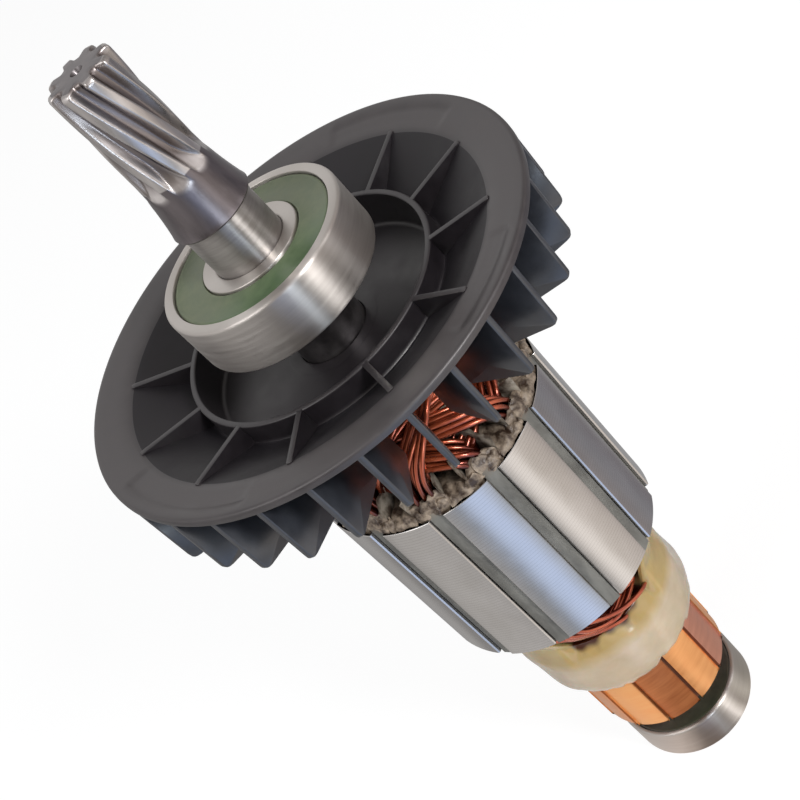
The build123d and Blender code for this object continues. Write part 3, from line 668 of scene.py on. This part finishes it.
lump_reach = np.linalg.norm(lump_points[..., :2], axis=-1, keepdims=True)
lump_points[..., :2] *= np.minimum(1, lump_limit / lump_reach)
lump_piece = skin("front_varnish_lumps", lump_points, "rotor", sharp=70)
dress(lump_piece, "insulating_fibre", fibre_buff)


# Slot papers. A folded trough of electrical paper lines each slot, and its cuff opens in a ragged, resin-
# stiffened collar where the wire leaves the core.
paper_buff = finish(
    "slot_paper", (0.075, 0.052, 0.036), (0.38, 0.33, 0.265), 0.5, grain=620.0, spread=0.12, relief=0.7,
    depth=0.15, contrast=0.1,
)
paper_wall = 0.27
trough = rounded([(14.84, 2.32), (9.36, 0.85), (9.36, -0.85), (14.84, -2.32)], [0, 0.7, 0.7, 0], 7)
trough_share = np.linspace(0, 1, 30)
trough_length = np.append(0, np.cumsum(np.linalg.norm(np.diff(trough, axis=0), axis=1)))
trough_place = trough_share * trough_length[-1]
trough_fine = np.stack([np.interp(trough_place, trough_length, trough[:, k]) for k in (0, 1)], axis=1)
inward = np.array([12.3, 0.0]) - trough_fine
inward /= np.linalg.norm(inward, axis=1, keepdims=True)
paper_rise = np.concatenate([np.linspace(-0.8, 28.6, 4), np.linspace(29.0, 31.9, 9)])[:, None]
cuff = part_way(paper_rise, 28.6, 31.4)
paper_sets = []
for index in range(12):
    wave = grain_source.normal(0, 1, 6)
    torn_edge = 0.45 * np.sin(9 * trough_share + wave[0]) + 0.3 * np.sin(23 * trough_share + wave[1])
    bulge = 0.30 * np.sin(7 * trough_share + wave[2]) + 0.2 * np.sin(17 * trough_share + wave[3])
    opened = (0.5 + 0.12 * wave[4] - bulge) * cuff
    height = core_low + paper_rise + cuff**2 * torn_edge
    outer, inner = (
        np.dstack([trough_fine - inward * (opened - wall * (1 + 0.9 * cuff))[..., None], height])
        for wall in (0.0, paper_wall)
    )
    sheet = np.concatenate([outer, inner[::-1]])
    middle = (sheet + sheet[::-1]) / 2
    sheet = np.concatenate([middle[:, :1], sheet, middle[:, -1:]], axis=1)
    paper_sets.append(spun(sheet, slot_turn[index]))
paper_piece = skin("slot_papers", paper_sets, "rotor", close_rows=True, close_columns=False, sharp=60)
dress(paper_piece, "insulating_paper", paper_buff, "slot_liners")


# Winding. Twelve coils of enamelled copper wire, each wound as a bundle of turns in a slot and in the
# fifth one on. The turns cross over one another at both ends of the core and pass round the sleeve, and
# two loose turns lie against the edge of the window that the resin leaves over the rear end.
enamel = finish(
    "wire_enamel", (0.36, 0.045, 0.018), (0.80, 0.185, 0.070), 0.22, metallic=0.65, grain=130.0, spread=0.06,
    relief=0.1, depth=0.03, Coat_Weight=0.7, Coat_Roughness=0.15,
)
# Painted shade: the enamel darkens where a wire turns away and deep down by the core.
shade(enamel, "cut", 0.0, 0.8, (0.085, 0.035, 0.045))


def smooth_run(knots, steps):
    """Points along a uniform cubic B-spline through a run of knots, with its first and last knot held:
    every point is the weighted mean of four neighbouring knots"""
    knots = np.concatenate([2 * knots[:1] - knots[1:2], knots, 2 * knots[-1:] - knots[-2:-1]])
    t = np.linspace(0, len(knots) - 3 - 1e-9, steps)
    first = t.astype(int)
    t = (t - first).reshape(-1, *[1] * (knots.ndim - 1))
    weights = (
        (1 - t) ** 3 / 6, (3 * t**3 - 6 * t**2 + 4) / 6, (-3 * t**3 + 3 * t**2 + 3 * t + 1) / 6, t**3 / 6,
    )
    return sum(weight * knots[first + step] for step, weight in enumerate(weights))


wire_radius = 0.35
wire_count = 12
inner_bundle_radius = 10.9
outer_bundle_radius = 13.2
span_angle = np.radians(150)
window_angle = -5.0
wire_round = full_turn(8)[:, None]
wire_chance = np.random.default_rng(5)


def end_knots(wire_place, side_radius, far_radius, face, out, height, waist, spread):
    """Knots of every wire over one end of the core: up out of its slot, over to a circle round the
    sleeve, along that, and back down to the far slot. Wires keep their place in the bundle, and part
    where they lean over."""
    share = np.array([0.0, 0.07, 0.17, 0.30, 0.43, 0.57, 0.70, 0.83, 0.93, 1.0])
    angle = span_angle * np.array([0.0, 0.0, 0.04, 0.17, 0.37, 0.63, 0.83, 0.96, 1.0, 1.0])
    climb = np.array([0.0, 0.26, 0.62, 0.9, 1.0, 1.0, 0.9, 0.62, 0.26, 0.0])
    near = side_radius * (1 - share) + far_radius * share
    inset = np.array([0.0, -0.02, 0.0, 0.38, 0.9, 0.9, 0.38, 0.0, -0.02, 0.0])
    radius = near * (1 - inset) + waist * inset
    part = np.array([1.0, 1.05, 1.25, 1.5, 1.5, 1.5, 1.5, 1.25, 1.05, 1.0]) * spread
    part[[0, -1]] = 1.0
    across = wire_place[:, 0] * part[:, None]
    deep = wire_place[:, 1] * part[:, None]
    stray = 0.22 * wire_chance.normal(0, 1, (2, 10, wire_count))
    stray = stray + 0.3 * wire_chance.normal(0, 1, (2, 1, wire_count))
    stray[:, [0, 1, 8, 9]] *= 0.2
    radius = radius[:, None] + deep * (1 - 0.6 * inset[:, None]) + stray[0]
    tilt = angle[:, None] + (across + stray[1]) * (1 - inset[:, None]) / np.maximum(radius, 6)
    lift = climb[:, None] * height + 0.8 * inset[:, None] * across + 0.3 * stray[1]
    return about_shaft(radius, tilt, face + out * lift)


def wires_along(name, path, outward, close_rows):
    """Mesh of wires along their paths, each given as points and wires: a ring of points stands square to the
    path at every point. Painted shade darkens the enamel where a wire turns away and deep down by the core."""
    tangent = np.gradient(path, axis=0)
    if close_rows:
        tangent = np.roll(path, -1, axis=0) - np.roll(path, 1, axis=0)
    tangent /= np.linalg.norm(tangent, axis=-1, keepdims=True)
    side = outward - (tangent @ outward)[..., None] * tangent
    side /= np.linalg.norm(side, axis=-1, keepdims=True)
    other = np.cross(tangent, side)
    ring = side[..., None, :] * np.cos(wire_round) + other[..., None, :] * np.sin(wire_round)
    wires = (path[..., None, :] + wire_radius * ring).transpose(1, 0, 2, 3)
    piece = skin(name, wires, "rotor", close_rows=close_rows, fill_ends=not close_rows, sharp=80)
    point, reach = read_mesh(piece.data.vertices, "co")
    normal = read_mesh(piece.data.vertices, "normal")[0] / 1000
    in_front = point[:, 2] > core_high
    bare_way = np.stack([point[:, 0] / reach, point[:, 1] / reach, np.where(in_front, 1.1, 0)], axis=1)
    bare_way /= np.linalg.norm(bare_way, axis=1, keepdims=True)
    turned_away = part_way((bare_way * normal).sum(axis=1), 0.8, 0.0)
    deep_down = part_way(point[:, 2], core_high + 4.6, core_high + 1.2) * in_front
    keep_cut_and_shade(piece, 1 - (1 - turned_away) * (1 - 0.8 * deep_down))
    return piece


for index in range(12):
    twin, layer = divmod(index, 6)
    side_radius = inner_bundle_radius if layer < 5 else outer_bundle_radius
    far_radius = inner_bundle_radius if layer == 0 else outer_bundle_radius
    grid = np.arange(wire_count)
    wire_place = np.stack([(grid % 3 - 1) * 0.96, (grid // 3 - 1.5) * 0.74], axis=1)
    wire_place = wire_place + wire_chance.normal(0, 0.04, wire_place.shape)
    bundle = (wire_place, side_radius, far_radius)
    front_run = smooth_run(end_knots(*bundle, core_high, 1, 4.2 + 1.35 * layer, 8.6, 1.0), 56)
    rear_run = smooth_run(end_knots(*bundle, core_low, -1, 2.6 + 0.95 * layer, 8.4, 0.8), 40)
    begin = slot_turn[layer + twin * 6]
    turn_path = spun(np.concatenate([front_run, rear_run[::-1]]), begin)
    wire_reach = np.linalg.norm(turn_path[..., :2], axis=-1)
    from_window = np.abs(np.degrees(np.arctan2(turn_path[..., 1], turn_path[..., 0])) - window_angle)
    wire_z = turn_path[..., 2]
    buried = np.interp(wire_z, [31.0, 37.0, 42.4, core_low, core_low + 1], [11.4, 11.5, 13.75, 14.7, 99.0])
    bare = np.interp(
        wire_z, [31.0, 35.0, 37.0, 41.0, core_low, core_low + 1], [10.3, 10.5, 12.4, 14.2, 14.9, 99.0],
    )
    limit = np.where(from_window < 27, bare, buried)
    turn_path[..., :2] *= np.minimum(1, limit / wire_reach)[..., None]
    middle_turn = begin + span_angle / 2
    outward = np.array([np.cos(middle_turn), np.sin(middle_turn), 0.0])
    coil_piece = wires_along(f"wire_coil_{index + 1:02d}", turn_path, outward, True)
    dress(coil_piece, "enamelled_copper", enamel, f"coil_{index + 1:02d}")
loose_radius, loose_angle, loose_height = smooth_run(np.array([
    [(13.9, -38.0, 43.4), (13.8, -24.0, 43.0)], [(13.9, -34.0, 41.6), (13.6, -12.0, 41.0)],
    [(12.9, -27.0, 38.9), (13.0, -4.5, 39.1)], [(11.9, -17.0, 36.9), (12.2, 8.5, 36.9)],
    [(11.5, -5.0, 35.5), (12.0, 24.0, 35.9)], [(10.9, 5.0, 34.2), (11.5, 31.0, 35.2)],
    [(10.1, 11.0, 33.6), (10.4, 37.0, 34.3)],
]), 30).transpose(2, 0, 1)
loose_path = about_shaft(loose_radius, np.radians(loose_angle), loose_height)
loose_piece = wires_along("loose_turns", loose_path, np.array([1.0, 0.0, 0.3]), False)
dress(loose_piece, "enamelled_copper", enamel)


# Commutator. Twelve bars of hard copper keyed in a moulding of dark phenolic, turned true after
# assembly, with the moulding cut back between them. The brushes have browned some bars more.
moulding_brown = finish("phenolic_brown", (0.13, 0.050, 0.020), (0.20, 0.085, 0.040), 0.5, relief=0.3)
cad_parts["commutator_moulding"].material_slots[0].material = moulding_brown
copper_low = 10.6
copper_high = 28.0
bar_radius = 9.95
bar_root = 7.2
bar_shoulder = 9.86
bar_groove = 0.55
groove_start = 3.2
half_pitch = np.radians(15)
bar_arc = 2 * half_pitch - 0.36 / bar_radius
arc = 0.985 * np.linspace(-bar_arc / 2, bar_arc / 2, 11)
outer_arc = np.stack([bar_radius * np.cos(arc), bar_radius * np.sin(arc)], axis=1)
low_half = bar_root * np.tan(half_pitch) - bar_groove / 2 / np.cos(half_pitch)
high_half = bar_radius * np.sin(bar_arc / 2) - 0.005
bar_outline = np.concatenate([
    [(bar_root, -low_half), (bar_shoulder, -high_half)], outer_arc,
    [(bar_shoulder, high_half), (bar_root, low_half)],
])
bar_middle = np.array([8.6, 0.0])
bar_share = np.array([0.9904, 1.0, 1.0, 0.9904])[:, None, None]
bar_rise = np.array([copper_low, copper_low + 0.08, copper_high - 0.08, copper_high])
bar_flat = bar_middle + (bar_outline - bar_middle) * bar_share
bar_solid = closed_below(np.dstack([bar_flat, np.broadcast_to(bar_rise[:, None], bar_flat.shape[:2])]))
bar_tints = (
    ((0.90, 0.38, 0.13), (1.00, 0.49, 0.19)), ((0.60, 0.25, 0.17), (0.70, 0.32, 0.22)),
    ((0.80, 0.33, 0.11), (0.94, 0.44, 0.17)), ((0.58, 0.20, 0.06), (0.74, 0.29, 0.10)),
    ((0.88, 0.38, 0.13), (0.98, 0.48, 0.19)), ((0.64, 0.27, 0.14), (0.76, 0.35, 0.18)),
    ((0.84, 0.36, 0.13), (0.96, 0.46, 0.18)), ((0.58, 0.21, 0.07), (0.72, 0.30, 0.11)),
    ((0.84, 0.37, 0.14), (0.95, 0.46, 0.19)), ((0.76, 0.31, 0.11), (0.90, 0.40, 0.16)),
    ((0.96, 0.42, 0.14), (1.00, 0.53, 0.21)), ((0.50, 0.15, 0.045), (0.66, 0.24, 0.08)),
)
for index, (brown, orange) in enumerate(bar_tints):
    bar_copper = finish(
        f"bar_copper_{index + 1:02d}", brown, orange, 0.36, metallic=0.6, grain=420.0,
        stretch=(0.35, 0.35, 2.4), spread=0.08, relief=0.16, depth=0.012,
    )
    shade(bar_copper, "z", 21.8, 23.1, (0.86, 1.12, 1.6))
    bar_points = spun(bar_solid, np.radians(groove_start + 30 * (index + 0.5)))
    bar_piece = skin(f"copper_bar_{index + 1:02d}", bar_points, "rotor", sharp=30)
    dress(bar_piece, "bar_copper", bar_copper, f"commutator_bar_{index + 1:02d}")


# Resin. Cream epoxy trickled over the tangs, the leads and the rear winding, and cured on the spin. It
# ends in a rounded lip on the copper, and leaves the end turns bare where a window was kept clear.
resin_cream = finish(
    "cream_resin", (0.52, 0.40, 0.26), (0.68, 0.555, 0.40), 0.2, grain=110.0, stretch=(1, 1, 1.3),
    spread=0.05, relief=0.2, depth=0.2, Subsurface_Weight=0.3, Subsurface_Scale=0.0015, Coat_Weight=0.5,
    Coat_Roughness=0.06,
)
shade(resin_cream, "z", 30.8, 32.7, (0.84, 0.74, 0.40))
# Painted shade: the resin darkens to maroon inside the window, beneath the bare turns.
shade(resin_cream, "cut", 0.0, 1.0, (0.13, 0.035, 0.022))
resin_low = 23.2
resin_crest = 31.2
resin_shoulder = 37.0
resin_top = 42.4
resin_outside = 12.45
resin_bore = 6.05
copper_fit = 9.98
foot = [
    (copper_fit, resin_low), (11.2, resin_low + 0.1), (resin_outside, resin_low + 2.2),
    (resin_outside, resin_crest),
]
inside = [(resin_bore, 29.7), (11.1, 29.7), (11.1, 26.1), (copper_fit, 26.1)]
skirt = [
    (resin_outside, resin_shoulder), (14.85, resin_top), (14.2, resin_top), (12.0, resin_shoulder),
    (12.0, 35.6), (resin_bore, 35.6),
]
window_rim = [(11.2, 33.85), (10.9, 34.55), (10.5, 34.55), (10.45, 34.2), (10.45, 34.0), (resin_bore, 34.0)]
rounding = [0.0, 0.9, 1.5, 1.4, 0.5, 0.12, 0.1, 0, 0, 0, 0, 0, 0, 0]
full_wall = rounded(foot + skirt + inside, rounding, 6)
low_wall = rounded(foot + window_rim + inside, rounding, 6)
resin_turn = full_turn(240)
resin_degree = np.degrees(resin_turn)
from_window = np.abs((resin_degree - window_angle + 180) % 360 - 180)
ragged = 2.5 * np.sin(9 * resin_turn) + 1.5 * np.sin(23 * resin_turn + 1.0)
wall_kept = part_way(from_window + ragged, 31, 40)
wall_kept = (wall_kept**2 * (3 - 2 * wall_kept))[:, None]
resin_profile = full_wall[:, None] * wall_kept + low_wall[:, None] * (1 - wall_kept)
resin_radius, resin_height = resin_profile[..., 0], resin_profile[..., 1]
wall_radius, wall_height = full_wall.T[:, :, None]
on_skin = part_way(wall_radius, 11.9, 12.4) * part_way(wall_height, resin_low, resin_low + 1)
lump = 0.06 * np.sin(13 * resin_turn + 0.9 * resin_height + 2.0) * np.sin(1.3 * resin_height + 3 * resin_turn)
lump = lump + 0.09 * np.sin(3 * resin_turn + 0.35 * resin_height + 1.0)
lump = lump + 0.08 * np.sin(7 * resin_turn - 0.6 * resin_height)
on_lip = part_way(wall_height, resin_low + 2.4, resin_low) * (wall_radius > 9.99) * (wall_height < 26)
from_groove = (resin_degree - groove_start + 15) % 30 - 15
drip = np.sin(5 * resin_turn + 0.5) + 0.7 * np.sin(17 * resin_turn) + 0.5 * np.sin(37 * resin_turn) + 1.0
lip_rise = on_lip * (0.2 * drip + 0.5 * np.exp(-(from_groove / 2.0) ** 2))
resin_points = about_shaft(resin_radius + (lump - 0.14) * on_skin, resin_turn, resin_height + lip_rise)
resin_piece = skin("cream_resin_collar", resin_points, "rotor", close_rows=True, sharp=50)
dress(resin_piece, "cast_resin", resin_cream, "resin_collar")
# The painted shade inside the window starts at a wavy edge just inside the rim.
point, reach = read_mesh(resin_piece.data.vertices, "co")
point_turn = np.arctan2(point[:, 1], point[:, 0])
shade_edge = 11.15 + 0.12 * np.sin(11 * point_turn + 1) + 0.1 * np.sin(29 * point_turn)
keep_cut_and_shade(resin_piece, part_way(reach, shade_edge, shade_edge - 0.35) * part_way(point[:, 2], 31.5, 32.5))


# Cooling fan. Injection-moulded in glass-filled nylon: a disc dished to a ring, twelve thin ribs, thirty
# straight blades behind the rim, and a hub pressed on the shaft. Its three marking pads are left bare.
fan_plastic, blue_lit_blade_plastic, shaded_dish = (
    finish(*look, grain=300.0, spread=0.06, relief=0.2, depth=0.03, Specular_IOR_Level=gloss)
    for *look, gloss in (
        ("fan_nylon", (0.030, 0.025, 0.027), (0.048, 0.041, 0.043), 0.42, 0.8),
        ("fan_blade_nylon", (0.024, 0.026, 0.033), (0.040, 0.044, 0.054), 0.36, 0.8),
        ("fan_dish_nylon", (0.008, 0.007, 0.009), (0.014, 0.012, 0.015), 0.5, 0.4),
    )
)
# Painted shade: the face darkens inside the dish, and the dish's floor gets a darker, less glossy copy of the
# nylon.
shade(fan_plastic, "radius", 25.2, 24.2, (0.34, 0.32, 0.38))
rim_top = front_bottom - 1.2
rim_radius = 29.85
disc_wall = 1.1
dish_radius = 25.2
ring_radius = 16.8
ring_bore = 16.0
hub_radius = 7.5
hub_face = front_bottom - 8.3
hub_low = hub_face - 5.4
web_low = hub_face - 1.5


def fan_face(radius):
    "Height of the fan's face: it falls from the rim towards the shaft"
    return rim_top - 0.15 * (rim_radius - radius)


ring_face = fan_face(ring_radius)
floor_line = ring_face - 3.0
disc_profile = rounded(
    [
        (rim_radius, rim_top - disc_wall), (rim_radius, rim_top), (dish_radius, fan_face(dish_radius)),
        (ring_radius, floor_line), (ring_radius, ring_face), (ring_bore, ring_face), (ring_bore, hub_face),
        (6.3, hub_face), (6.1, hub_face + 0.02), (4.52, hub_face + 0.02), (4.52, hub_low),
        (hub_radius, hub_low), (hub_radius, web_low), (ring_radius, web_low),
        (ring_radius, floor_line - disc_wall), (dish_radius, fan_face(dish_radius) - disc_wall),
    ],
    [0.2, 0.6, 1.4, 0.6, 0.25, 0.25, 0.6, 0.05, 0.01, 0.25, 0.3, 0.4, 0.4, 0.5, 0.4, 0.4],
)
pad_cut = 1 + np.flatnonzero((disc_profile[:-1, 0] > 28.9) & (disc_profile[1:, 0] < 26.9))[0]
pad_radii = np.array([28.15, 28.0, 27.3])
disc_profile = np.insert(disc_profile, pad_cut, np.stack([pad_radii, fan_face(pad_radii)], axis=1), axis=0)
disc_turn = full_turn(360)
disc_radius, disc_height = disc_profile.T[:, :, None]
degree = (np.degrees(disc_turn) + 180) % 360 - 180
pad = np.zeros_like(degree)
pad_edge = 1.2
pad_depth = 0.14
for start, end in ((-83, -40), (18, 46), (101, 142)):
    pad = np.maximum(pad, part_way(degree, start, start + pad_edge) * part_way(degree, end, end - pad_edge))
on_pad = (disc_radius < 28.05) & (disc_radius > 25.7) & (disc_height > fan_face(25.7) - 0.4)
disc_points = about_shaft(disc_radius, disc_turn, disc_height - pad_depth * on_pad * pad)
disc_piece = skin("fan_disc", disc_points, "rotor", close_rows=True, sharp=40)
dress(disc_piece, "fan_plastic", fan_plastic, "cooling_fan")
# Painted shade: the dish's floor between the ring and the rim takes the dark copy of the nylon.
face, reach = read_mesh(disc_piece.data.polygons, "center")
dish_low = floor_line + 0.5 * (reach - ring_radius) - 0.6
wear(disc_piece, (reach > 16.9) & (reach < 24.7) & (face[:, 2] > dish_low), shaded_dish)


def plates(outline, thickness, turns, edge):
    """Flat plates standing on the shaft's radii: one outline of radius and height, pulled in a little at
    both faces so that its edge is rounded, with each face closed to its middle, turned to each angle"""
    outline = np.asarray(outline, float)
    centre = outline.mean(axis=0)
    pulled = outline - edge * (outline - centre) / np.linalg.norm(outline - centre, axis=1, keepdims=True)
    closing = 0 * outline + centre
    layers = np.array([closing, pulled, outline, outline, pulled, closing])
    side = thickness / 2
    across = np.array([-side, -side, edge - side, side - edge, side, side])[:, None] + 0 * layers[..., 0]
    plate = np.stack([layers[..., 0], across, layers[..., 1]], axis=-1)
    return spun(np.repeat(plate[None], len(turns), axis=0), np.radians(turns)[:, None])


rim_under = rim_top - disc_wall
blade_root = 17.6
blade_tail = rim_under - 8.8
blade_outline = rounded(
    [
        (blade_root, floor_line - 0.5), (blade_root, blade_tail - 0.32 * (rim_radius - blade_root)),
        (rim_radius, blade_tail), (rim_radius - 0.02, rim_under + 0.25),
        (dish_radius, fan_face(dish_radius) - 0.6),
    ],
    [0, 0.4, 0.8, 0, 0],
)
blade_points = plates(blade_outline, 0.74, 12.0 * np.arange(30) - 1.0, 0.14)
blade_piece = skin("fan_blades", blade_points, "rotor", sharp=50)
# Painted light: the blades take a bluer copy of the fan's nylon, which stands in for a bluish light.
dress(blade_piece, "fan_plastic", blue_lit_blade_plastic)
rib_outline = rounded(
    [
        (16.4, floor_line - 0.4), (24.6, fan_face(24.6) - 0.75), (24.9, fan_face(24.9) - 0.05),
        (24.2, fan_face(24.2)), (16.4, fan_face(16.4) + 0.02),
    ],
    [0, 0, 0.15, 0.3, 0],
)
rib_piece = skin("fan_ribs", plates(rib_outline, 0.72, 30.0 * np.arange(12), 0.12), "rotor", sharp=50)
dress(rib_piece, "fan_plastic", fan_plastic)


# Sleeve. A moulded tube of cream polyester that insulates the shaft from the core and the winding.
sleeve_cream = finish("sleeve_polyester", (0.42, 0.38, 0.30), (0.55, 0.50, 0.41), 0.45, grain=300.0)
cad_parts["shaft_sleeve"].material_slots[0].material = sleeve_cream
